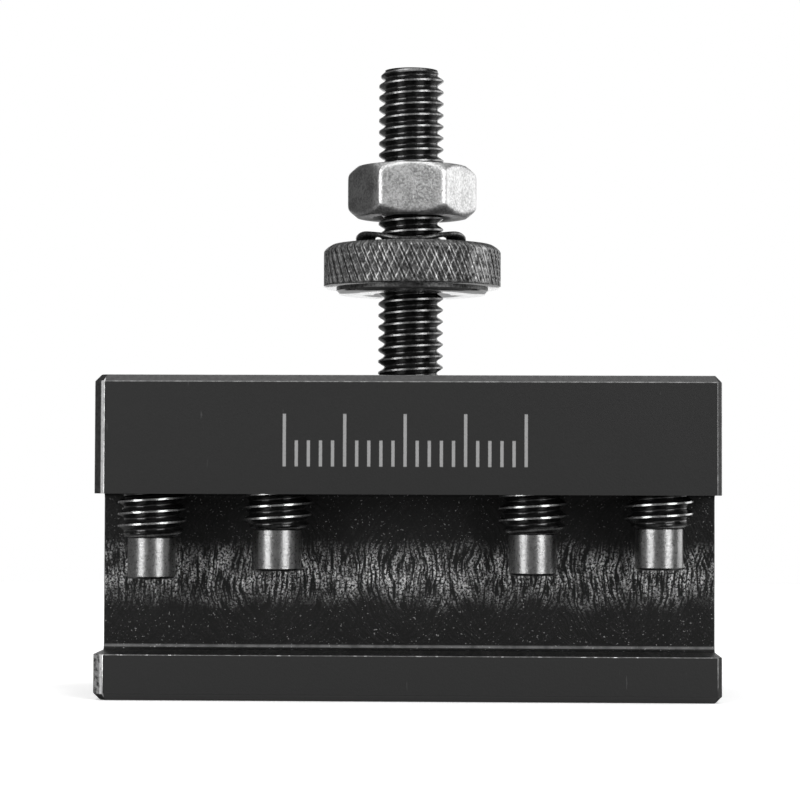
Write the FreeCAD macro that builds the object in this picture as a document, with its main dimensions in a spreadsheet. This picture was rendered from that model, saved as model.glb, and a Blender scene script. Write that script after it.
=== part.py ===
import FreeCAD, Part
import math
import os

import Sketcher

# Quick-change tool holder for a small lathe: a block with a tool slot in its front (-Y) and a
# dovetail groove in its back (+Y), four dog-point clamp screws through the upper jaw, and a
# height stud with a knurled nut, a wave washer and a lock nut.
# Millimetres, +Z up. The origin is the centre of the block's underside.

SIZES = {
    # holder block
    "block_width": 52.0,
    "block_depth": 22.5,
    "block_height": 27.0,
    "edge_cut": 0.55,
    "left_cut": 0.85,
    "right_cut": 0.35,
    # tool slot, from the front face
    "floor_height": 3.8,
    "slot_height": 13.3,
    "slot_depth": 7.2,
    "slot_round": 0.4,
    # dovetail groove, from the back face; its flanks lean 60 degrees
    "groove_depth": 6.3,
    "groove_mouth": 22.7,
    "groove_floor": 30.0,
    "groove_lip": 0.4,
    "bore_cut": 0.35,
    # clamp screws, M6 with a dog point
    "screw_inner": 10.72,
    "screw_outer": 21.33,
    "screw_shift": 0.25,
    "screw_line": 4.1,
    "screw_radius": 2.95,
    "screw_length": 16.0,
    "screw_crown": 0.6,
    "dog_radius": 2.0,
    "dog_length": 3.45,
    "dog_cut": 0.2,
    "socket_flats": 3.0,
    "socket_depth": 3.5,
    # height stud, M6
    "stud_line": 11.7,
    "stud_radius": 2.9,
    "stud_top": 54.0,
    "stud_sunk": 12.0,
    "stud_cut": 0.6,
    "running_gap": 0.05,
    # knurled height nut
    "height_nut_base": 34.45,
    "boss_radius": 6.6,
    "boss_height": 0.55,
    "knurl_radius": 7.7,
    "knurl_height": 3.05,
    "crown_height": 0.65,
    "crown_inset": 0.85,
    # wave washer
    "washer_outer": 4.8,
    "washer_inner": 3.1,
    "washer_thick": 0.4,
    "wave_rise": 0.62,
    "wave_count": 3,
    "washer_lift": 0.03,
    # lock nut
    "lock_nut_base": 41.15,
    "lock_nut_height": 4.4,
    "lock_nut_flats": 9.85,
    "lock_nut_rim": 4.7,
    "lock_nut_turn": 1.5,
}

# Height of each clamp screw's tip above the block's underside, left to right.
SCREW_TIPS = {
    "clamp_screw_1": 9.95,
    "clamp_screw_2": 10.65,
    "clamp_screw_3": 10.35,
    "clamp_screw_4": 10.85,
}
# The row of screws sits a little left of the block's middle.
SCREW_PLACES = {
    "clamp_screw_1": "-Sizes.screw_outer - Sizes.screw_shift",
    "clamp_screw_2": "-Sizes.screw_inner - Sizes.screw_shift",
    "clamp_screw_3": "Sizes.screw_inner - Sizes.screw_shift",
    "clamp_screw_4": "Sizes.screw_outer - Sizes.screw_shift",
}

TOOL_FACE = "(-Sizes.block_depth / 2)"
BACK_FACE = "(Sizes.block_depth / 2)"
PAST = 1.0  # how far a cutting outline runs past the face that it opens

doc = FreeCAD.newDocument("tool_holder")
sheet = doc.addObject("Spreadsheet::Sheet", "Sizes")
for row, (alias, value) in enumerate({**SIZES, **SCREW_TIPS}.items(), start=1):
    sheet.set(f"A{row}", alias)
    sheet.set(f"B{row}", str(value))
    sheet.setAlias(f"B{row}", alias)
doc.recompute()


def new_body(label):
    body = doc.addObject("PartDesign::Body", label)
    body.Label = label
    return body


def new_sketch(body, name, plane, lift=None):
    """A sketch on one of the body's own origin planes, raised along the plane's normal."""
    planes = {feature.Role: feature for feature in body.Origin.OriginFeatures}
    sketch = body.newObject("Sketcher::SketchObject", name)
    sketch.AttachmentSupport = [(planes[plane], "")]
    sketch.MapMode = "FlatFace"
    if lift:
        sketch.setExpression("AttachmentOffset.Base.z", lift)
    return sketch


def bind(sketch, kind, *where, size):
    """A dimension whose value is an expression on the sheet."""
    index = sketch.addConstraint(Sketcher.Constraint(kind, *where, 1.0))
    sketch.setExpression(f"Constraints[{index}]", size)


def outline(body, name, plane, corners, lift=None):
    """A closed outline of straight lines through corners given as pairs of expressions."""
    sketch = new_sketch(body, name, plane, lift)
    count = len(corners)
    ring = [2 * math.pi * step / count for step in range(count)]
    rough = [FreeCAD.Vector(math.cos(turn), math.sin(turn), 0) for turn in ring]
    for line in range(count):
        sketch.addGeometry(Part.LineSegment(rough[line], rough[(line + 1) % count]))
    for line in range(count):
        sketch.addConstraint(Sketcher.Constraint("Coincident", line, 2, (line + 1) % count, 1))
    for line, (across, along) in enumerate(corners):
        bind(sketch, "DistanceX", line, 1, size=across)
        bind(sketch, "DistanceY", line, 1, size=along)
    return sketch


def circles(body, name, plane, centres, radius, lift=None):
    """Equal circles with centres given as pairs of expressions."""
    sketch = new_sketch(body, name, plane, lift)
    for index, (across, along) in enumerate(centres):
        sketch.addGeometry(Part.Circle(FreeCAD.Vector(index, 0, 0), FreeCAD.Vector(0, 0, 1), 1))
        bind(sketch, "DistanceX", index, 3, size=across)
        bind(sketch, "DistanceY", index, 3, size=along)
        bind(sketch, "Radius", index, size=radius)
    return sketch


def hexagon(body, name, plane, flats, lift=None):
    """A hexagon about the origin with one side facing down the sketch."""
    corners = []
    for step in range(6):
        turn = 30 + 60 * step
        corners.append((f"{flats} / sqrt(3) * sin({turn} deg)", f"{flats} / sqrt(3) * cos({turn} deg)"))
    return outline(body, name, plane, corners, lift)


def pad(body, name, sketch, length):
    feature = body.newObject("PartDesign::Pad", name)
    feature.Profile = sketch
    feature.setExpression("Length", length)
    doc.recompute()
    return feature


def cut(body, name, sketch, length=None, upwards=False, symmetric=False):
    """A pocket that has to take material away."""
    before = body.Shape.Volume
    feature = body.newObject("PartDesign::Pocket", name)
    feature.Profile = sketch
    feature.Reversed = upwards
    if symmetric:
        feature.SideType = "Symmetric"
    if length is None:
        feature.Type = "ThroughAll"
    else:
        feature.setExpression("Length", length)
    doc.recompute()
    if body.Shape.Volume > before - 0.01:
        raise RuntimeError(f"{body.Label}: {name} cuts nothing")
    return feature


def turned(body, name, kind, sketch):
    """A Revolution or Groove of a half profile in the XZ plane about the Z axis."""
    before = body.Shape.Volume if body.Tip else 0.0
    feature = body.newObject(f"PartDesign::{kind}", name)
    feature.Profile = sketch
    feature.ReferenceAxis = (sketch, ["V_Axis"])
    doc.recompute()
    change = body.Shape.Volume - before
    if abs(change) < 0.01 or (change > 0) != (kind == "Revolution"):
        raise RuntimeError(f"{body.Label}: {name} has the wrong effect")
    return feature


def dress(body, name, kind, size, wanted):
    """A Chamfer or Fillet of the edges that the test picks."""
    base = body.Tip
    edges = [f"Edge{number}" for number, edge in enumerate(base.Shape.Edges, start=1) if wanted(edge)]
    if not edges:
        raise RuntimeError(f"{body.Label}: {name} finds no edge")
    feature = body.newObject(f"PartDesign::{kind}", name)
    feature.Base = (base, edges)
    feature.setExpression("Radius" if kind == "Fillet" else "Size", size)
    doc.recompute()
    return feature


def lies_at(edge, axis, *values):
    """Whether the whole edge lies at one of these values along an axis."""
    box = edge.BoundBox
    low = getattr(box, f"{axis}Min")
    high = getattr(box, f"{axis}Max")
    return any(abs(low - value) < 1e-4 and abs(high - value) < 1e-4 for value in values)


def is_round(edge):
    return isinstance(edge.Curve, Part.Circle)


def stand(body, across, along, height):
    """Place a body whose own origin is the foot of its axis."""
    for letter, size in zip("xyz", (across, along, height)):
        body.setExpression(f"Placement.Base.{letter}", size)


def make_block():
    """The holder block: outer form, tool slot, dovetail groove and tapped holes."""
    body = new_body("holder_block")
    half_width = "Sizes.block_width / 2"
    foot = outline(body, "block_outline", "XY_Plane", [
        (f"-{half_width} + Sizes.left_cut", TOOL_FACE),
        (f"{half_width} - Sizes.right_cut", TOOL_FACE),
        (half_width, f"{TOOL_FACE} + Sizes.right_cut"),
        (half_width, f"{BACK_FACE} - Sizes.edge_cut"),
        (f"{half_width} - Sizes.edge_cut", BACK_FACE),
        (f"-{half_width} + Sizes.edge_cut", BACK_FACE),
        (f"-{half_width}", f"{BACK_FACE} - Sizes.edge_cut"),
        (f"-{half_width}", f"{TOOL_FACE} + Sizes.left_cut"),
    ])
    pad(body, "block_form", foot, "Sizes.block_height")
    dress(body, "broken_edges", "Chamfer", "Sizes.edge_cut",
          lambda edge: lies_at(edge, "Z", 0, SIZES["block_height"]))

    slot_back = f"{TOOL_FACE} + Sizes.slot_depth"
    slot_roof = "Sizes.floor_height + Sizes.slot_height"
    slot = outline(body, "slot_outline", "YZ_Plane", [
        (f"{TOOL_FACE} - {PAST}", "Sizes.floor_height"),
        (slot_back, "Sizes.floor_height"),
        (slot_back, slot_roof),
        (f"{TOOL_FACE} - {PAST}", slot_roof),
    ])
    cut(body, "tool_slot", slot, f"Sizes.block_width + {PAST}", symmetric=True)
    back_wall = SIZES["slot_depth"] - SIZES["block_depth"] / 2
    dress(body, "slot_corners", "Fillet", "Sizes.slot_round",
          lambda edge: lies_at(edge, "Y", back_wall) and edge.Length > SIZES["block_width"] / 2)

    lean = "(Sizes.groove_floor - Sizes.groove_mouth) / 2 / Sizes.groove_depth"
    groove_base = f"{BACK_FACE} - Sizes.groove_depth"
    half_groove = [
        (f"Sizes.groove_mouth / 2 + Sizes.groove_lip + {PAST}", f"{BACK_FACE} + {PAST}"),
        (f"Sizes.groove_mouth / 2 + {lean} * Sizes.groove_lip", f"{BACK_FACE} - Sizes.groove_lip"),
        (f"Sizes.groove_floor / 2 - {lean} * Sizes.groove_lip", f"{groove_base} + Sizes.groove_lip"),
        ("Sizes.groove_floor / 2 - Sizes.groove_lip", groove_base),
    ]
    other_half = [(f"-({across})", along) for across, along in reversed(half_groove)]
    groove = outline(body, "groove_outline", "XY_Plane", half_groove + other_half)
    cut(body, "dovetail_groove", groove, upwards=True)

    screw_row = f"{TOOL_FACE} + Sizes.screw_line"
    screw_holes = circles(body, "screw_hole_circles", "XY_Plane",
                          [(place, screw_row) for place in SCREW_PLACES.values()],
                          "Sizes.screw_radius + Sizes.running_gap", "Sizes.block_height")
    cut(body, "screw_holes", screw_holes, "Sizes.block_height - Sizes.floor_height - Sizes.slot_height / 2")
    stud_hole = circles(body, "stud_hole_circle", "XY_Plane",
                        [("0", f"{TOOL_FACE} + Sizes.stud_line")],
                        "Sizes.stud_radius", "Sizes.block_height")
    cut(body, "stud_hole", stud_hole, "Sizes.stud_sunk + Sizes.stud_cut")
    dress(body, "hole_mouths", "Chamfer", "Sizes.bore_cut",
          lambda edge: is_round(edge) and lies_at(edge, "Z", SIZES["block_height"]))
    return body


def make_stud():
    """The height stud, threaded all along and fixed in the web of the block."""
    body = new_body("height_stud")
    foot = "Sizes.block_height - Sizes.stud_sunk"
    rod = outline(body, "stud_profile", "XZ_Plane", [
        ("0", foot),
        ("Sizes.stud_radius - Sizes.stud_cut", foot),
        ("Sizes.stud_radius", f"{foot} + Sizes.stud_cut"),
        ("Sizes.stud_radius", "Sizes.stud_top - Sizes.stud_cut"),
        ("Sizes.stud_radius - Sizes.stud_cut", "Sizes.stud_top"),
        ("0", "Sizes.stud_top"),
    ])
    turned(body, "stud_rod", "Revolution", rod)
    stand(body, "0", f"{TOOL_FACE} + Sizes.stud_line", "0")
    return body


def make_height_nut():
    """The knurled nut that sets the height, with a turned boss on its underside."""
    body = new_body("height_nut")
    bore = "Sizes.stud_radius + Sizes.running_gap"
    band_foot = "Sizes.boss_height"
    band_top = "Sizes.boss_height + Sizes.knurl_height"
    crown = f"{band_top} + Sizes.crown_height"
    profile = outline(body, "nut_profile", "XZ_Plane", [
        (f"{bore} + Sizes.bore_cut", "0"),
        ("Sizes.boss_radius", "0"),
        ("Sizes.boss_radius", band_foot),
        ("Sizes.knurl_radius", band_foot),
        ("Sizes.knurl_radius", band_top),
        ("Sizes.knurl_radius - Sizes.crown_inset", crown),
        (f"{bore} + Sizes.bore_cut", crown),
        (bore, f"{crown} - Sizes.bore_cut"),
        (bore, "Sizes.bore_cut"),
    ])
    turned(body, "nut_form", "Revolution", profile)
    stand(body, "0", f"{TOOL_FACE} + Sizes.stud_line", "Sizes.height_nut_base")
    return body


def make_wave_washer():
    """A flat ring bent into three waves, lofted through thin rectangular sections."""
    inner = sheet.get("washer_inner")
    outer = sheet.get("washer_outer")
    thick = sheet.get("washer_thick")
    rise = sheet.get("wave_rise")
    waves = int(sheet.get("wave_count"))
    sections = []
    for step in range(8 * waves):
        turn = math.pi * step / (4 * waves)
        foot = rise * (1 - math.cos(waves * turn)) / 2
        corners = [(inner, foot), (outer, foot), (outer, foot + thick), (inner, foot + thick)]
        loop = [FreeCAD.Vector(reach * math.sin(turn), -reach * math.cos(turn), height)
                for reach, height in corners + corners[:1]]
        sections.append(Part.makePolygon(loop))
    washer = doc.addObject("Part::Feature", "wave_washer")
    washer.Shape = Part.makeLoft(sections, True, False, True)
    nut_height = sheet.get("boss_height") + sheet.get("knurl_height") + sheet.get("crown_height")
    washer.Placement.Base = FreeCAD.Vector(
        0,
        sheet.get("stud_line") - sheet.get("block_depth") / 2,
        sheet.get("height_nut_base") + nut_height + sheet.get("washer_lift"),
    )
    return washer


def make_lock_nut():
    """The hexagon lock nut, chamfered at 30 degrees on both faces."""
    body = new_body("lock_nut")
    hexagon_sketch = hexagon(body, "nut_hexagon", "XY_Plane", "Sizes.lock_nut_flats")
    pad(body, "nut_form", hexagon_sketch, "Sizes.lock_nut_height")
    reach = "Sizes.lock_nut_flats"
    drop = f"({reach} - Sizes.lock_nut_rim) * tan(30 deg)"
    for name, face, drop_to in (
        ("lower_chamfer", "0", drop),
        ("upper_chamfer", "Sizes.lock_nut_height", f"Sizes.lock_nut_height - {drop}"),
    ):
        wedge = outline(body, f"{name}_profile", "XZ_Plane", [
            ("Sizes.lock_nut_rim", face),
            (reach, face),
            (reach, drop_to),
        ])
        turned(body, name, "Groove", wedge)
    bore = circles(body, "bore_circle", "XY_Plane", [("0", "0")],
                   "Sizes.stud_radius + Sizes.running_gap", "Sizes.lock_nut_height")
    cut(body, "nut_bore", bore)
    dress(body, "bore_mouths", "Chamfer", "Sizes.bore_cut",
          lambda edge: is_round(edge) and edge.Curve.Radius < SIZES["stud_radius"] + 0.2)
    stand(body, "0", f"{TOOL_FACE} + Sizes.stud_line", "Sizes.lock_nut_base")
    body.setExpression("Placement.Rotation.Angle", "Sizes.lock_nut_turn")
    return body


def make_clamp_screw(label):
    """One clamp screw: dog point, threaded shank and hexagon socket, tip down."""
    body = new_body(label)
    shank_foot = "Sizes.dog_length + (Sizes.screw_radius - Sizes.dog_radius) / 2"
    profile = outline(body, f"{label}_profile", "XZ_Plane", [
        ("0", "0"),
        ("Sizes.dog_radius - Sizes.dog_cut", "0"),
        ("Sizes.dog_radius", "Sizes.dog_cut"),
        ("Sizes.dog_radius", "Sizes.dog_length"),
        ("Sizes.screw_radius", shank_foot),
        ("Sizes.screw_radius", "Sizes.screw_length - Sizes.screw_crown"),
        ("Sizes.screw_radius - Sizes.screw_crown", "Sizes.screw_length"),
        ("0", "Sizes.screw_length"),
    ])
    turned(body, f"{label}_form", "Revolution", profile)
    socket = hexagon(body, f"{label}_socket_outline", "XY_Plane", "Sizes.socket_flats", "Sizes.screw_length")
    cut(body, f"{label}_socket", socket, "Sizes.socket_depth")
    stand(body, SCREW_PLACES[label], f"{TOOL_FACE} + Sizes.screw_line", f"Sizes.{label}")
    return body


def check_and_write(pieces):
    """Refuse a failed document or a bad solid, then write one STEP file for each piece."""
    doc.recompute()
    for item in doc.Objects:
        if "Invalid" in item.State or "Error" in item.State:
            raise RuntimeError(f"{item.Label} did not compute: {item.State}")
    for piece in pieces:
        shape = piece.Shape
        if shape.isNull() or not shape.isValid() or len(shape.Solids) != 1:
            raise RuntimeError(f"{piece.Label} is not one valid solid")
    os.makedirs("parts", exist_ok=True)
    for piece in pieces:
        piece.Shape.exportStep(os.path.join("parts", f"{piece.Label}.step"))
        box = piece.Shape.BoundBox
        print(f"{piece.Label}: {piece.Shape.Volume:.1f} mm3, z {box.ZMin:.2f} to {box.ZMax:.2f}")


check_and_write([
    make_block(),
    make_stud(),
    make_height_nut(),
    make_wave_washer(),
    make_lock_nut(),
    *[make_clamp_screw(label) for label in SCREW_TIPS],
])
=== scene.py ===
"""A quick-change lathe tool holder: its finishes, threads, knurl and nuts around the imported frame.

Lengths in the tables and functions below are millimetres, as on a drawing; a piece is scaled to
metres when it is made. The frame is the block's: +Z up along the height stud, -Y out of the tool slot.
"""

import math

import bmesh
import bpy
from mathutils import Matrix, Vector


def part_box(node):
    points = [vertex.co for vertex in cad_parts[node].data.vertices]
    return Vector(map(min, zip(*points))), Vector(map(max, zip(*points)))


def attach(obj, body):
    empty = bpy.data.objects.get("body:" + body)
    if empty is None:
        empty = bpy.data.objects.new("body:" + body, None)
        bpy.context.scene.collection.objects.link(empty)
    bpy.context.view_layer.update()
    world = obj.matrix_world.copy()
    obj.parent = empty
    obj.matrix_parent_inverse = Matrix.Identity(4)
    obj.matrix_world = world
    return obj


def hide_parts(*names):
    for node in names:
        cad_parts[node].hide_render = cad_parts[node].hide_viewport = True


MM = 0.001
TURN = 2 * math.pi

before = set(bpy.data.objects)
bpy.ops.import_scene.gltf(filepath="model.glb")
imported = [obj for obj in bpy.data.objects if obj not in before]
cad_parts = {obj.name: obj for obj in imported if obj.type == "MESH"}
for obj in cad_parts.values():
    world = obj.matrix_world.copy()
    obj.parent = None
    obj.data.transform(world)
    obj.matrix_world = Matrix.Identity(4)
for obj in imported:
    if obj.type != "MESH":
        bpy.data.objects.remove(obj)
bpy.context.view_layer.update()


# ---------------------------------------------------------------- measures


def measured(node):
    """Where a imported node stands, in millimetres: its vertical axis, its bottom and its top."""
    low, high = ([round(part / MM, 3) for part in corner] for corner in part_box(node))
    return ((low[0] + high[0]) / 2, (low[1] + high[1]) / 2), low[2], high[2]


STUD_AXIS, STUD_BOTTOM, STUD_TOP = measured("height_stud")
NUT_BOTTOM, NUT_TOP = measured("height_nut")[1:]
# the tool slot's front, back wall, floor and roof
FRONT, BACK_WALL, FLOOR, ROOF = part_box("holder_block")[0][1] / MM, -4.05, 3.8, 17.1
# the height nut's diamond knurl: teeth around, height of a diamond, and how far the nut sits off the axis
KNURL_TEETH = 56
KNURL_DIAMOND = 1.86
KNURL_SHIFT = 0.13
# for each clamp screw, how far above a whole pitch a crest stands on the +X side
SCREW_STARTS = (0.83, 0.40, 0.40, 0.62)

# the M6 thread of the stud and the screws, and the columns it is drawn with
THREAD_PITCH = 1.0
THREAD_COLUMNS = 96
# share of the pitch above the crest's middle, and depth below the crest
THREAD_FORM = (
    (0.0, 0.0),
    (0.035, 0.005),
    (0.075, 0.04),
    (0.22, 0.27),
    (0.36, 0.50),
    (0.43, 0.565),
    (0.5, 0.58),
    (0.57, 0.565),
    (0.64, 0.50),
    (0.78, 0.27),
    (0.925, 0.04),
    (0.965, 0.005),
)


# ---------------------------------------------------------------- shader arithmetic


class Reading:
    """One output socket of a finish's nodes; arithmetic on it adds Math nodes."""

    def __init__(self, finish, socket):
        self.finish = finish
        self.socket = socket

    def math(self, operation, *values):
        return self.finish.add("ShaderNodeMath", {"operation": operation}, dict(enumerate(values)))

    def __add__(self, other):
        return self.math("ADD", self, other)

    def __radd__(self, other):
        return self.math("ADD", other, self)

    def __sub__(self, other):
        return self.math("SUBTRACT", self, other)

    def __rsub__(self, other):
        return self.math("SUBTRACT", other, self)

    def __mul__(self, other):
        return self.math("MULTIPLY", self, other)

    def __rmul__(self, other):
        return self.math("MULTIPLY", other, self)

    def __truediv__(self, other):
        return self.math("DIVIDE", self, other)

    def __rtruediv__(self, other):
        return self.math("DIVIDE", other, self)


class Finish:
    """A surface finish being made: its material, its nodes and the measures most finishes share."""

    def __init__(self, name, metallic=0.0, roughness=0.5):
        self.material = bpy.data.materials.new(name)
        self.material.use_nodes = True
        self.nodes = self.material.node_tree.nodes
        self.links = self.material.node_tree.links
        self.shader = self.nodes["Principled BSDF"]
        self.shader.inputs["Metallic"].default_value = metallic
        self.shader.inputs["Roughness"].default_value = roughness

    def set(self, socket, value):
        """Gives a socket its number, colour or link."""
        if isinstance(value, Reading):
            self.links.new(value.socket, socket)
        elif isinstance(value, tuple) and socket.type == "RGBA":
            socket.default_value = (*value, 1.0) if len(value) == 3 else value
        else:
            socket.default_value = value

    def add(self, kind, settings, sockets, output=0):
        """Adds one node: its settings first, then its sockets' values or links."""
        node = self.nodes.new(kind)
        for name, value in settings.items():
            setattr(node, name, value)
        for name, value in sockets.items():
            self.set(node.inputs[name], value)
        return Reading(self, node.outputs[output])

    def place(self):
        """The point on the piece, in millimetres."""
        point = self.add("ShaderNodeTexCoord", {}, {}, "Object")
        return self.scaled(point, (1 / MM, 1 / MM, 1 / MM))

    def scaled(self, vector, factors):
        return self.add("ShaderNodeVectorMath", {"operation": "MULTIPLY"}, {0: vector, 1: factors})

    def parts(self, vector):
        """A vector's three numbers."""
        node = self.nodes.new("ShaderNodeSeparateXYZ")
        self.links.new(vector.socket, node.inputs[0])
        return [Reading(self, socket) for socket in node.outputs]

    def from_stud(self, x, y):
        """The distance from the height stud's axis."""
        along = y - STUD_AXIS[1]
        return x.math("SQRT", x * x + along * along)

    def joined(self, x, y, z):
        return self.add("ShaderNodeCombineXYZ", {}, {0: x, 1: y, 2: z})

    def noise(self, vector, scale, detail=2.0, roughness=0.5, distortion=0.0):
        """Cloudy unevenness, 0 to 1, with scale features to the millimetre."""
        sockets = {"Vector": vector, "Scale": scale, "Detail": detail}
        sockets |= {"Roughness": roughness, "Distortion": distortion}
        return self.add("ShaderNodeTexNoise", {}, sockets)

    def band(self, value, low, high, bottom=0.0, top=1.0):
        """Eases from bottom to top while value goes from low to high."""
        sockets = {"Value": value, 1: low, 2: high, 3: bottom, 4: top}
        return self.add("ShaderNodeMapRange", {"interpolation_type": "SMOOTHSTEP"}, sockets)

    def shade(self, amount, dark, light):
        """A grey between two greys."""
        dark, light = ((tone, tone, tone) if isinstance(tone, float) else tone for tone in (dark, light))
        return self.add("ShaderNodeMix", {"data_type": "RGBA"}, {0: amount, 6: dark, 7: light}, 2)

    def relief(self, height, depth):
        """Feeds Normal from a height of 0 to 1 that stands for depth millimetres."""
        sockets = {"Height": height, "Distance": depth * MM}
        self.feed(Normal=self.add("ShaderNodeBump", {}, sockets))

    def feed(self, **sockets):
        """Gives the shader its sockets; an underscore in a name stands for a space."""
        for name, value in sockets.items():
            self.set(self.shader.inputs[name.replace("_", " ")], value)


# ---------------------------------------------------------------- finishes


def black_oxide():
    """Matt black oxide on ground steel, faintly scuffed, with etched graduations on the upper jaw."""
    finish = Finish("black_oxide", 0.0, 0.5)
    place = finish.place()
    x, y, z = finish.parts(place)
    grain = finish.noise(place, 5.0, 3.0, 0.6)
    cloud = finish.noise(place, 0.16, 2.0)
    scuffs = finish.noise(finish.scaled(place, (2.4, 2.4, 0.28)), 1.0, 3.0, 0.55, 0.4)
    scratch = finish.band(scuffs, 0.69, 0.74) * finish.band(cloud, 0.42, 0.62)
    tone = finish.shade(cloud * 0.5 + grain * 0.5, 0.0100, 0.0140)
    lower_jaw = finish.band(z, FLOOR + 0.8, FLOOR - 0.2)
    tone = finish.shade(lower_jaw, tone, 0.0145)
    tone = finish.shade(scratch * 0.7, tone, 0.06)

    # graduations a millimetre apart, every fifth one taller, ten on each side of the middle one
    middle, foot, head, taller, half_row = -0.15, 19.4, 21.55, 2.2, 10.3
    along = x - middle
    to_line = x.math("PINGPONG", along, 0.5)
    to_fifth = x.math("PINGPONG", along, 2.5)
    line = finish.band(to_line, 0.11, 0.16, 1.0, 0.0)
    top = head + finish.band(to_fifth, 0.2, 0.3, 1.0, 0.0) * taller
    height = finish.band(z - top, -0.05, 0.05, 1.0, 0.0) * finish.band(z, foot - 0.05, foot + 0.05)
    row = finish.band(x.math("ABSOLUTE", along), half_row, half_row + 0.05, 1.0, 0.0)
    front = finish.band(y, FRONT + 0.05, FRONT + 0.15, 1.0, 0.0)
    mark = line * height * row * front * finish.band(grain, 0.2, 0.5, 0.75, 1.0)
    finish.feed(Base_Color=finish.shade(mark, tone, 0.3))
    finish.feed(Roughness=0.46 + grain * 0.12 + mark * 0.1, IOR=1.42)
    finish.relief(grain, 0.012)
    return finish.material


def milled_black():
    """The slot's inside: black oxide over the arcs left by an end mill that fed along the slot, with painted
    highlights: a band across the back wall's middle height and a line just above the floor.
    """
    finish = Finish("milled_black", 0.0, 0.4)
    place = finish.place()
    x, _, z = finish.parts(place)
    cutter = 7.6
    lift = z - (FLOOR + ROOF) / 2
    reach = x.math("SQRT", x.math("MAXIMUM", cutter * cutter - lift * lift, 1.0))
    angle = lift / cutter
    wander = finish.noise(place, 0.35, 1.0) * 1.4
    leading = finish.noise(finish.joined((x - reach + wander) * 4.4, angle * 3.6, 1.0), 1.0, 2.0, 0.6)
    trailing = finish.noise(finish.joined((x + reach - wander) * 4.1, angle * 3.4, 9.0), 1.0, 2.0, 0.6)
    pits = finish.noise(place, 5.2, 3.0, 0.7)
    clumps = finish.noise(finish.joined(x * 0.8, z * 0.5, 4.0), 1.0, 2.0)
    share = finish.band(finish.noise(finish.joined(x * 0.16, 3.0, 0.0), 1.0, 0.0), 0.4, 0.6)
    arcs = leading * share + trailing * (1 - share)
    ragged = z + finish.noise(finish.joined(x * 0.5, z * 0.2, 7.0), 1.0, 3.0) * 2.4 - 1.2
    # painted highlight: the mill marks are lightened in a band across the wall's middle height, where the
    # arcs turn their faces sideways to the lights
    painted_highlight_band = finish.band(ragged, 13.4, 10.8) * finish.band(ragged, 7.1, 10.3)
    patchy = finish.band(clumps, 0.3, 0.6, 0.5, 1.0)
    grit = finish.band(arcs, 0.43, 0.60) * finish.band(pits, 0.42, 0.60) * patchy
    speck = finish.band(finish.noise(place, 6.0, 1.0), 0.69, 0.74) * finish.band(clumps, 0.35, 0.6, 0.2, 1.0)
    # painted highlight line just above the floor, where the cutter's corner radius meets the wall
    rim = finish.band(z, FLOOR + 0.52, FLOOR + 0.4) * finish.band(z, FLOOR + 0.2, FLOOR + 0.28) * patchy
    # base colour: mill-mark grit lit up inside the painted highlight band, dust specks, and the painted
    # highlight line above the floor
    bright = grit * (painted_highlight_band * 0.985 + 0.015) + speck * 0.3 + rim * 0.16
    finish.feed(Base_Color=finish.shade(bright, 0.005, 0.88))
    finish.feed(Metallic=bright * 0.5, Roughness=0.44 - grit * 0.14, IOR=1.32)
    finish.relief(arcs * 0.6 + pits * 0.6, 0.07)
    return finish.material


def cut_edge():
    """The block's chamfers and the stud's end, where the oxide has rubbed thin, with lighter strips placed by
    position at the left front, the lower jaw's left and the block's foot.
    """
    finish = Finish("cut_edge", 0.2, 0.42)
    place = finish.place()
    x, _, z = finish.parts(place)
    grain = finish.noise(place, 3.0, 3.0, 0.6)
    # the left front chamfer strip and the lower jaw's left chamfer are made lighter by position
    left = finish.band(x, -25.0, -25.1)
    lighter_left_strip = left * finish.band(x, -25.46, -25.34) * finish.band(grain, 0.2, 0.5, 0.5, 1.0)
    # lighter below 0.6 mm, along the block's foot
    under = finish.band(z, 0.62, 0.54)
    lower = left * finish.band(z, 4.0, 3.9) * finish.band(grain, 0.35, 0.6)
    tone = finish.shade(finish.band(grain, 0.3, 0.7), 0.014, 0.036)
    tone = finish.shade(under, tone, 0.06)
    finish.feed(Base_Color=finish.shade(lighter_left_strip * 0.9 + lower * 0.42, tone, 0.7))
    finish.feed(Roughness=0.36 + grain * 0.16)
    finish.relief(grain, 0.012)
    return finish.material


def worn_edge():
    """The last tenth of a millimetre of each corner, rubbed to bare steel where hands and tools touch it, and
    lighter by position at the left front corner.
    """
    finish = Finish("worn_edge", 0.6, 0.35)
    place = finish.place()
    x, y, z = finish.parts(place)
    chatter = finish.noise(place, 1.6, 3.0, 0.65)
    # the left front corner's edges are made lighter by position
    left = finish.band(x, -25.0, -25.1) * finish.band(y, -11.0, -11.1)
    handled = finish.band(z, 0.9, 1.4) * finish.band(chatter, 0.35, 0.7, 0.05, 0.25)
    nicks = finish.band(finish.noise(place, 2.6, 1.0), 0.60, 0.66)
    nicks = nicks * finish.band(z, 3.3, 3.6) * finish.band(z, 4.2, 4.0) * finish.band(y, -11.0, -11.1)
    wear = handled + nicks * 0.6 + left * finish.band(chatter, 0.3, 0.6, 0.4, 0.7)
    finish.feed(Base_Color=finish.shade(wear, 0.03, 0.75))
    finish.feed(Metallic=0.1 + wear * 0.7)
    return finish.material


def rolled_thread(name, dark, light, roughness):
    """Oily black oxide on a rolled thread, between two greys where it is chipped."""
    finish = Finish(name, 0.9, roughness)
    place = finish.place()
    grain = finish.noise(place, 4.0, 3.0, 0.6)
    chips = finish.noise(place, 1.3, 2.0)
    finish.feed(Base_Color=finish.shade(finish.band(grain * 0.6 + chips * 0.4, 0.3, 0.7), dark, light))
    finish.feed(Roughness=roughness + grain * 0.12)
    finish.relief(grain, 0.012)
    return finish.material


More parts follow.
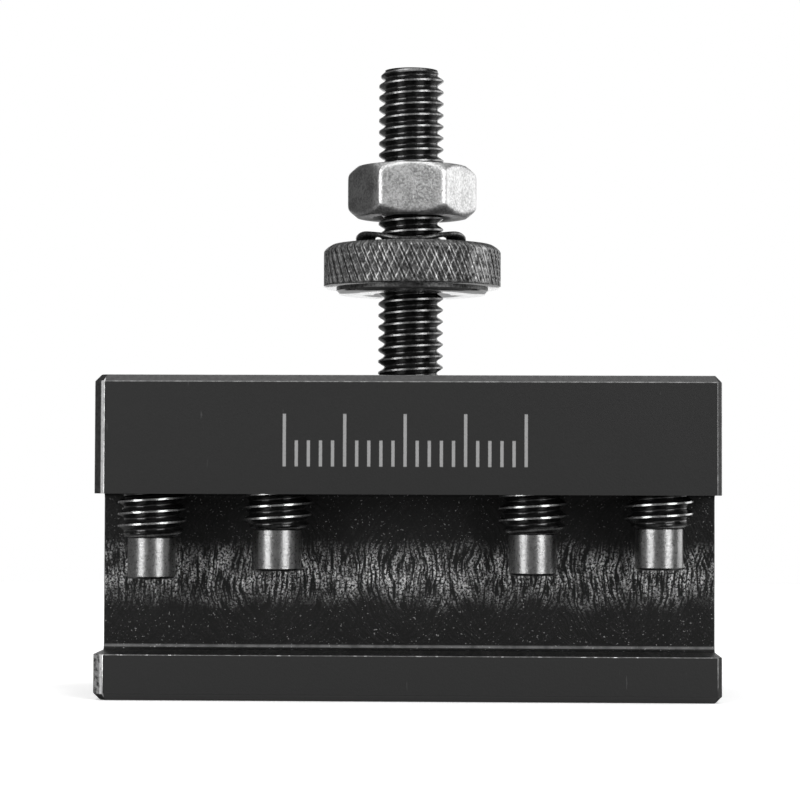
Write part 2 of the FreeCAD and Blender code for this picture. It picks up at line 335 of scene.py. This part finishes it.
def bare_point():
    """Turned, bare steel of the screws' dog points."""
    finish = Finish("bare_point", 1.0, 0.25)
    place = finish.place()
    streak = finish.noise(finish.scaled(place, (3.0, 3.0, 0.9)), 1.0, 3.0, 0.6)
    pits = finish.noise(place, 4.5, 2.0)
    finish.feed(Base_Color=finish.shade(finish.band(streak * 0.6 + pits * 0.4, 0.3, 0.7), 0.22, 0.34))
    finish.feed(Roughness=0.22 + pits * 0.14)
    finish.relief(pits, 0.012)
    return finish.material


def knurl_grey():
    """Worn black oxide on the height nut: dark tops, and the lips of the knurl's grooves rubbed bright; by
    position, the rising lines are stronger across the middle and bright flecks lie on the +X side.
    """
    finish = Finish("knurl_grey", 0.6, 0.4)
    place = finish.place()
    x, y, z = finish.parts(place)
    around = y.math("ARCTAN2", y - STUD_AXIS[1], x - KNURL_SHIFT) * (KNURL_TEETH / TURN)
    up = z / KNURL_DIAMOND
    falling = x.math("PINGPONG", around + up, 0.5)
    rising = x.math("PINGPONG", around - up, 0.5)
    deep = finish.band(falling, 0.36, 0.44)
    lip = finish.band(falling, 0.26, 0.31) * finish.band(falling, 0.39, 0.34) * 0.7
    # the rising lines are painted full strength where x is near the axis and fainter towards the sides, most
    # of all on the -X side
    middle = finish.band(x, -5.0, -3.4, 0.15, 1.0) * finish.band(x, 5.0, 3.8, 0.4, 1.0)
    line = x.math("MAXIMUM", lip, finish.band(rising, 0.40, 0.46) * middle) * (1 - deep * 0.8)
    banded = finish.band(z, NUT_BOTTOM + 0.7, NUT_BOTTOM + 0.85)
    banded = banded * finish.band(z, NUT_TOP - 0.2, NUT_TOP - 0.5)
    mottle = finish.noise(place, 1.6, 3.0, 0.65)
    grain = finish.noise(place, 5.5, 2.0, 0.6)
    worn = line * banded * finish.band(mottle, 0.34, 0.6, 0.15, 1.0)
    tone = finish.shade(finish.band(grain * 0.5 + mottle * 0.5, 0.38, 0.62), 0.02, 0.11)
    # bright flecks painted by position on the knurl's +X side
    right_flecks = finish.band(x, 4.9, 5.5) * finish.band(x, 7.0, 6.5) * banded * finish.band(mottle, 0.35, 0.55)
    tone = finish.shade(right_flecks * 0.8, tone, 0.42)
    tone = finish.shade(deep * banded * 0.9, tone, 0.012)
    finish.feed(Base_Color=finish.shade(worn, tone, 0.5))
    finish.feed(Roughness=0.30 + grain * 0.2)
    finish.relief(grain, 0.02)
    return finish.material


def turned_face():
    """Bare steel under the height nut, faced on a lathe."""
    finish = Finish("turned_face", 1.0, 0.34)
    place = finish.place()
    x, y, _ = finish.parts(place)
    radius = finish.from_stud(x, y)
    rings = finish.noise(finish.joined(radius * 9.0, 0.0, 0.0), 1.0, 2.0)
    mottle = finish.noise(place, 1.2, 3.0, 0.6)
    finish.feed(Base_Color=finish.shade(finish.band(mottle * 0.7 + rings * 0.3, 0.3, 0.7), 0.80, 0.96))
    finish.feed(Roughness=0.12 + mottle * 0.12)
    finish.relief(rings, 0.004)
    return finish.material


def tumbled_steel():
    """Bare steel of the lock nut, dulled and dented by tumbling."""
    finish = Finish("tumbled_steel", 1.0, 0.42)
    place = finish.place()
    x, y, _ = finish.parts(place)
    radius = finish.from_stud(x, y)
    mottle = finish.noise(place, 5.0, 3.0, 0.62)
    cloud = finish.noise(place, 0.8, 2.0)
    corner = finish.band(radius, 5.35, 5.6)
    uneven = finish.band(mottle * 0.7 + cloud * 0.3, 0.36, 0.62)
    # painted shade: the nut's left side, below x = -3, takes its tone darkened to 0.62 of itself
    dark, light, shade_share = 0.34, 0.66, 0.62
    unshaded_tone, shaded_tone = finish.shade(uneven, dark, light), finish.shade(uneven, dark * shade_share, light * shade_share)
    tone = finish.shade(finish.band(x, -3.0, -3.3), unshaded_tone, shaded_tone)
    finish.feed(Base_Color=finish.shade(corner * 0.4, tone, 0.75))
    finish.feed(Roughness=0.33 + mottle * 0.14)
    finish.relief(mottle, 0.04)
    return finish.material


def spring_black():
    """Blued spring steel, oily."""
    finish = Finish("spring_black", 0.7, 0.24)
    place = finish.place()
    grain = finish.noise(place, 3.0, 3.0, 0.6)
    finish.feed(Base_Color=finish.shade(finish.band(grain, 0.35, 0.7), 0.03, 0.10))
    finish.feed(Roughness=0.18 + grain * 0.16)
    finish.relief(grain, 0.01)
    return finish.material


# ---------------------------------------------------------------- shapes


class Shape:
    """Points in millimetres, and faces with a finish number each, before they become a piece."""

    def __init__(self):
        self.points = []
        self.faces = []
        self.numbers = []

    def face(self, corners, number):
        self.faces.append(corners)
        self.numbers.append(number)

    def turned(self, centre, outline, columns, number):
        """A skin turned about a vertical axis through centre. Each step of the outline is a radius, or a
        function of angle and height that gives one, and a height; a radius of 0 closes the end."""
        before = None
        for radius, height in outline:
            start = len(self.points)
            if radius == 0:
                self.points.append((*centre, height))
                ring = [start] * columns
            else:
                for column in range(columns):
                    angle = TURN * column / columns
                    reach = radius(angle, height) if callable(radius) else radius
                    across, along = reach * math.cos(angle), reach * math.sin(angle)
                    self.points.append((centre[0] + across, centre[1] + along, height))
                ring = list(range(start, start + columns))
            if before:
                for column in range(columns):
                    after = (column + 1) % columns
                    corners = (before[column], before[after], ring[after], ring[column])
                    self.face(tuple(dict.fromkeys(corners)), number)
            before = ring

    def threaded(self, centre, bottom, top, crest, start, limit):
        """A right-handed thread's skin between two heights, its flanks finish 0 and its crests finish 1.
        Its rows follow the helix, and the last column meets the first one turn further up; limit gives
        the most that a height may reach."""
        columns, per_turn = THREAD_COLUMNS, len(THREAD_FORM)
        first = math.floor((bottom - start) / THREAD_PITCH) - 2
        rows = (math.ceil((top - bottom) / THREAD_PITCH) + 5) * per_turn
        skin = bmesh.new()
        corners = []
        for row in range(rows):
            turn, step = divmod(row, per_turn)
            share, depth = THREAD_FORM[step]
            for column in range(columns):
                angle = TURN * column / columns
                height = start + THREAD_PITCH * (first + turn + share + column / columns)
                reach = min(crest - depth, limit(height))
                across, along = reach * math.cos(angle), reach * math.sin(angle)
                corners.append(skin.verts.new((centre[0] + across, centre[1] + along, height)))
        for row in range(rows - 1 - per_turn):
            for column in range(columns):
                here = row * columns + column
                beside = here + 1 if column + 1 < columns else (row + per_turn) * columns
                side = skin.faces.new([corners[n] for n in (here, beside, beside + columns, here + columns)])
                share = THREAD_FORM[row % per_turn][0]
                side.material_index = int(share < 0.07 or share > 0.92)
        for height, way in ((top, 1), (bottom, -1)):
            whole = [*skin.verts, *skin.edges, *skin.faces]
            spot, out = Vector((0, 0, height)), Vector((0, 0, way))
            bmesh.ops.bisect_plane(skin, geom=whole, plane_co=spot, plane_no=out, clear_outer=True)
        loose = [corner for corner in skin.verts if not corner.link_faces]
        bmesh.ops.delete(skin, geom=loose, context="VERTS")
        skin.verts.index_update()
        before = len(self.points)
        self.points += [tuple(corner.co) for corner in skin.verts]
        for face in skin.faces:
            self.face(tuple(before + corner.index for corner in face.verts), face.material_index)
        skin.free()

    def piece(self, name, finishes, sharp=35.0):
        """The finished object, in metres."""
        mesh = bpy.data.meshes.new(name)
        mesh.from_pydata([[MM * part for part in point] for point in self.points], [], self.faces)
        for finish in finishes:
            mesh.materials.append(finish)
        mesh.polygons.foreach_set("material_index", self.numbers)
        return settled(name, mesh, sharp)


def settled(name, mesh, sharp):
    """An object of this mesh, smooth except across its sharp corners."""
    mesh.update()
    mesh.shade_smooth()
    mesh.set_sharp_from_angle(angle=math.radians(sharp))
    piece = bpy.data.objects.new(name, mesh)
    bpy.context.scene.collection.objects.link(piece)
    return piece


def soft_least(values, hardness):
    """The least of some lengths, rounded where two are nearly equal."""
    return sum(value ** -hardness for value in values) ** (-1 / hardness)


def hexagon(flats, turn, hardness):
    """The reach of a hexagon's side at an angle, its corners rounded more the softer hardness is."""

    def reach(angle, height):
        sides = [math.cos(angle - turn - side * TURN / 6) for side in range(6)]
        return sum((2 * side / flats) ** hardness for side in sides if side > 0) ** (-1 / hardness)

    return reach


# ---------------------------------------------------------------- pieces


def make_block(finishes):
    """The holder's block, from the frame's own solid, with its long corners eased by a few hundredths."""
    oxide, milled, cut, worn = range(4)
    block = bmesh.new()
    block.from_mesh(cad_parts["holder_block"].data)
    bmesh.ops.scale(block, vec=Vector((1, 1, 1)) / MM, verts=block.verts)
    bmesh.ops.remove_doubles(block, verts=block.verts, dist=0.002)
    bmesh.ops.dissolve_limit(block, angle_limit=math.radians(0.5), verts=block.verts, edges=block.edges)
    for face in block.faces:
        way, spot = face.normal, face.calc_center_median()
        inside = FRONT + 0.1 < spot.y < BACK_WALL + 0.1 and FLOOR - 0.1 < spot.z < ROOF + 0.1
        slanted = max(abs(part) for part in way) < 0.95
        if inside and abs(way.x) < 0.1:
            face.material_index = milled
        elif slanted and face.calc_area() > 1.0 and spot.y < 5.0:
            face.material_index = cut
        else:
            face.material_index = oxide
    eased = []
    for edge in block.edges:
        middle = (edge.verts[0].co + edge.verts[1].co) / 2
        roof_lip = abs(middle.z - ROOF) < 0.1 and abs(middle.y - FRONT) < 0.1
        if len(edge.link_faces) != 2 or edge.calc_length() < 2.0 or roof_lip:
            continue
        if edge.calc_face_angle() > math.radians(25):
            eased.append(edge)
    rounding = {"offset": 0.06, "segments": 2, "profile": 0.5, "affect": "EDGES", "material": worn}
    bmesh.ops.bevel(block, geom=eased, clamp_overlap=False, **rounding)
    bmesh.ops.scale(block, vec=Vector((MM, MM, MM)), verts=block.verts)
    mesh = bpy.data.meshes.new("block")
    block.to_mesh(mesh)
    block.free()
    for finish in finishes:
        mesh.materials.append(finish)
    piece = settled("block", mesh, 30.0)
    for side in mesh.polygons:
        square = max(abs(part) for part in side.normal) > 0.999
        flat = square or side.material_index == cut or side.center.y > 4.0 * MM
        side.use_smooth = side.material_index == worn or not flat
    return piece


def make_stud(finishes):
    """The height stud: M6 all the way, its end chamfered."""
    cut, crest, worn_crest, start = 0.6, 2.9, 2.82, 0.11
    shape = Shape()

    def limit(height):
        return worn_crest - max(0.0, height - STUD_TOP + cut)

    shape.threaded(STUD_AXIS, STUD_BOTTOM, STUD_TOP, crest, start, limit)
    end = ((crest - cut, STUD_TOP), (2.0, STUD_TOP), (0, STUD_TOP))
    shape.turned(STUD_AXIS, end, THREAD_COLUMNS, 2)
    return shape.piece("stud", finishes)


def make_clamp_screw(name, turn, start, finishes):
    """A dog-point set screw: bare turned point, shoulder, thread and hexagon socket."""
    dog, neck, crest, worn_crest, crown, flats = 2.0, 2.3, 2.95, 2.86, 0.6, 3.0
    centre, tip, top = measured(name)
    shoulder = tip + 3.45
    shape = Shape()
    point = ((0, tip), (dog - 0.22, tip), (dog - 0.14, tip + 0.03), (dog, tip + 0.2), (dog, shoulder - 0.05))
    shape.turned(centre, point, THREAD_COLUMNS, 2)
    root = ((dog, shoulder - 0.05), (dog, shoulder), (neck, shoulder + 0.12), (neck, shoulder + 1.0))
    shape.turned(centre, root, THREAD_COLUMNS, 0)

    def limit(height):
        ends = (neck + 0.9 * (height - shoulder - 0.12), crest - crown + top - height, worn_crest)
        return max(0.2, min(ends))

    shape.threaded(centre, shoulder + 0.12, top, crest, start, limit)
    socket, wide = hexagon(flats, turn, 200.0), hexagon(flats + 0.5, turn, 200.0)
    mouth = ((crest - crown, top), (wide, top), (socket, top - 0.2), (socket, top - 3.5), (0, top - 4.2))
    shape.turned(centre, mouth, THREAD_COLUMNS, 0)
    return shape.piece(name.replace("clamp", "dog"), finishes)


def make_height_nut(finishes):
    """The height nut: a diamond-knurled ring on a plain boss, faced bare underneath."""
    bore, boss, outside, depth = 3.05, 6.6, 7.7, 0.15
    band_low, band_high = NUT_BOTTOM + 0.65, NUT_TOP - 0.65
    centre = (KNURL_SHIFT, STUD_AXIS[1])
    columns = KNURL_TEETH * 16

    def groove(share, half):
        away = abs(share - math.floor(share) - 0.5)
        return max(0.0, min(1.0, (away - 0.5 + half) / (half - 0.04)))

    def knurled(angle, height):
        around, up = KNURL_TEETH * angle / TURN, height / KNURL_DIAMOND
        fade = min(1.0, (height - band_low) / 0.1, (NUT_TOP - height) / 0.15)
        rim = outside - 0.7 * (max(0.0, height - band_high) / (NUT_TOP - band_high)) ** 1.7
        cut = max(groove(around + up, 0.20), 0.35 * groove(around - up, 0.12))
        return rim - depth * cut * max(0.0, fade)

    rows = 68
    band = [(knurled, band_low + (NUT_TOP - band_low) * row / rows) for row in range(rows + 1)]
    mouth, ledge, step = NUT_BOTTOM + 0.3, NUT_BOTTOM + 0.27, NUT_BOTTOM + 0.55
    under = ((bore, mouth), (bore + 0.35, NUT_BOTTOM), (boss - 0.25, NUT_BOTTOM), (boss, ledge))
    over = ((knurled, NUT_TOP), (6.7, NUT_TOP), (bore + 0.35, NUT_TOP), (bore, NUT_TOP - 0.35), (bore, mouth))
    shape = Shape()
    shape.turned(centre, under, columns, 1)
    shape.turned(centre, ((boss, ledge), (boss, step)), columns, 0)
    shape.turned(centre, ((boss, step), (outside - 0.14, step), (outside, band_low)), columns, 1)
    shape.turned(centre, band, columns, 0)
    shape.turned(centre, over, columns, 0)
    return shape.piece("knurled_nut", finishes, 50.0)


def make_wave_washer(finish):
    """The spring washer: a flat ring with three waves, its edges rounded by the press."""
    inner, outer, thick, rise, base, waves = 3.1, 4.8, 0.4, 0.62, NUT_TOP + 0.03, 3
    columns, ease = 144, 0.12
    section = (
        (inner, ease), (inner + ease, 0.0), (outer - ease, 0.0), (outer, ease),
        (outer, thick - ease), (outer - ease, thick), (inner + ease, thick), (inner, thick - ease),
    )
    shape = Shape()
    for column in range(columns):
        angle = TURN * column / columns
        lift = base + rise * (0.5 - 0.5 * math.cos(waves * (angle + TURN / 4)))
        for radius, up in section:
            across, along = radius * math.cos(angle), radius * math.sin(angle)
            shape.points.append((STUD_AXIS[0] + across, STUD_AXIS[1] + along, lift + up))
    count = len(section)
    for column in range(columns):
        here, beside = column * count, (column + 1) % columns * count
        for step in range(count):
            after = (step + 1) % count
            shape.face((here + step, beside + step, beside + after, here + after), 0)
    return shape.piece("spring_ring", [finish], 60.0)


def make_lock_nut(finish):
    """The hexagon lock nut, chamfered top and bottom, its corners softened by tumbling."""
    bore, face, rim, slope, flats, shift = 3.0, 4.55, 4.78, 1.3, 9.85, 0.1
    corner_hardness, edge_hardness = 44.0, 36.0
    base, top = measured("lock_nut")[1:]
    across_flats = hexagon(flats, math.radians(1.5 + 30.0), corner_hardness)

    def side(angle, height):
        lower = rim + (height - base) * slope
        upper = rim + (top - height) * slope
        return soft_least((across_flats(angle, height), lower, upper), edge_hardness)

    rows = 72
    sides = [(side, base + (top - base) * row / rows) for row in range(rows + 1)]
    mouth = ((bore, base + 0.5), (bore + 0.45, base), (face, base))
    back = ((face, top), (bore + 0.45, top), (bore, top - 0.5), (bore, base + 0.5))
    shape = Shape()
    shape.turned((shift, STUD_AXIS[1]), (*mouth, *sides, *back), 240, 0)
    return shape.piece("hex_nut", [finish], 50.0)


flanks = rolled_thread("oiled_flanks", 0.02, 0.10, 0.13)
crests = rolled_thread("rubbed_crests", 0.28, 0.6, 0.18)
dull_crests = rolled_thread("dull_crests", 0.10, 0.34, 0.28)
block = make_block([black_oxide(), milled_black(), cut_edge(), worn_edge()])
stud = make_stud([flanks, dull_crests, cut_edge()])
height_nut = make_height_nut([knurl_grey(), turned_face()])
wave_washer = make_wave_washer(spring_black())
lock_nut = make_lock_nut(tumbled_steel())

FITTED = [
    (block, "holder", "holder_block", "black_oxide_steel"),
    (stud, "holder", "height_stud", "black_thread_steel"),
    (height_nut, "height_nut", "height_nut", "knurled_steel"),
    (wave_washer, "spring_washer", "wave_washer", "spring_steel"),
    (lock_nut, "lock_nut", "lock_nut", "bare_steel"),
]
point = bare_point()
for number, start in enumerate(SCREW_STARTS, 1):
    name = f"clamp_screw_{number}"
    screw = make_clamp_screw(name, 0.3 * number, start, [flanks, crests, point])
    FITTED.append((screw, name, name, "black_thread_steel"))

for piece, body, node, slot in FITTED:
    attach(piece, body)
    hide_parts(node)


# ---------------------------------------------------------------- floor, light and camera


def make_floor():
    """A pale floor that shows the soft shadow under the block."""
    finish = Finish("pale_floor", 0.0, 0.9)
    finish.feed(Base_Color=(0.92, 0.92, 0.92), IOR=1.2, Emission_Color=(1, 1, 1), Emission_Strength=0.35)
    dim = finish.add("ShaderNodeBsdfDiffuse", {}, {"Color": (0.30, 0.30, 0.30)})
    seen = finish.add("ShaderNodeLightPath", {}, {}, "Is Camera Ray")
    pale = Reading(finish, finish.shader.outputs[0])
    both = finish.add("ShaderNodeMixShader", {}, {0: seen, 1: dim, 2: pale})
    finish.set(finish.nodes["Material Output"].inputs["Surface"], both)
    level, reach = -0.03, 260.0
    shape = Shape()
    shape.turned((0, 0), ((0, level), (reach, level)), 96, 0)
    floor = shape.piece("floor", [finish.material])


def make_panel(name, azimuth, elevation, distance, width, height, brightness):
    """A soft panel light that faces the holder; azimuth 0 is the slot's side and 90 the right."""
    lamp = bpy.data.lights.new(name, "AREA")
    lamp.shape = "RECTANGLE"
    lamp.size, lamp.size_y = width * MM, height * MM
    lamp.energy = brightness * math.pi * lamp.size * lamp.size_y
    panel = bpy.data.objects.new(name, lamp)
    around, up = math.radians(azimuth), math.radians(elevation)
    way = Vector((math.sin(around) * math.cos(up), -math.cos(around) * math.cos(up), math.sin(up)))
    aim = Vector((0, 0, 25.0))
    panel.location = (aim + way * distance) * MM
    panel.rotation_mode = "QUATERNION"
    panel.rotation_quaternion = way.to_track_quat("Z", "Y")
    panel.visible_camera = False
    bpy.context.scene.collection.objects.link(panel)


def make_surroundings(around_light):
    """White behind everything, and a dim room for the steel to reflect."""
    world = bpy.data.worlds.new("studio")
    world.use_nodes = True
    nodes, links = world.node_tree.nodes, world.node_tree.links
    dim = nodes["Background"]
    dim.inputs["Color"].default_value = (around_light, around_light, around_light, 1)
    white = nodes.new("ShaderNodeBackground")
    white.inputs["Color"].default_value = (1, 1, 1, 1)
    seen = nodes.new("ShaderNodeLightPath")
    both = nodes.new("ShaderNodeMixShader")
    links.new(seen.outputs["Is Camera Ray"], both.inputs[0])
    links.new(dim.outputs[0], both.inputs[1])
    links.new(white.outputs[0], both.inputs[2])
    links.new(both.outputs[0], nodes["World Output"].inputs["Surface"])
    bpy.context.scene.world = world


def make_camera():
    """Just above the height of the tool slot's roof, a little right of the middle, looking slightly up."""
    stand, yaw, pitch, roll = Vector((5.44, -233.91, 18.03)), -0.02705, 0.0309, 0.0036
    ahead = Vector((math.sin(yaw) * math.cos(pitch), math.cos(yaw) * math.cos(pitch), math.sin(pitch)))
    right = ahead.cross(Vector((0, 0, 1))).normalized()
    up = right.cross(ahead)
    tilted_right = right * math.cos(roll) + up * math.sin(roll)
    tilted_up = up * math.cos(roll) - right * math.sin(roll)
    lens = bpy.data.cameras.new("camera")
    lens.sensor_width = 36.0
    lens.lens = 121.3
    lens.clip_start, lens.clip_end = 0.01, 20.0
    camera = bpy.data.objects.new("camera", lens)
    turn = Matrix((tilted_right, tilted_up, -ahead)).transposed().to_4x4()
    camera.matrix_world = Matrix.Translation(stand * MM) @ turn
    bpy.context.scene.collection.objects.link(camera)
    bpy.context.scene.camera = camera


make_floor()
make_panel("left_panel", -45, 17, 900, 460, 860, 5.0)
make_panel("right_panel", 43, 17, 900, 460, 860, 5.0)
make_panel("right_rear_panel", 118, 12, 900, 700, 800, 2.0)
make_panel("back_panel", 180, 0, 900, 900, 700, 1.1)
make_panel("overhead_panel", 0, 88, 1000, 900, 900, 2.4)
make_surroundings(0.11)
make_camera()
bpy.context.scene.view_settings.view_transform = "Standard"
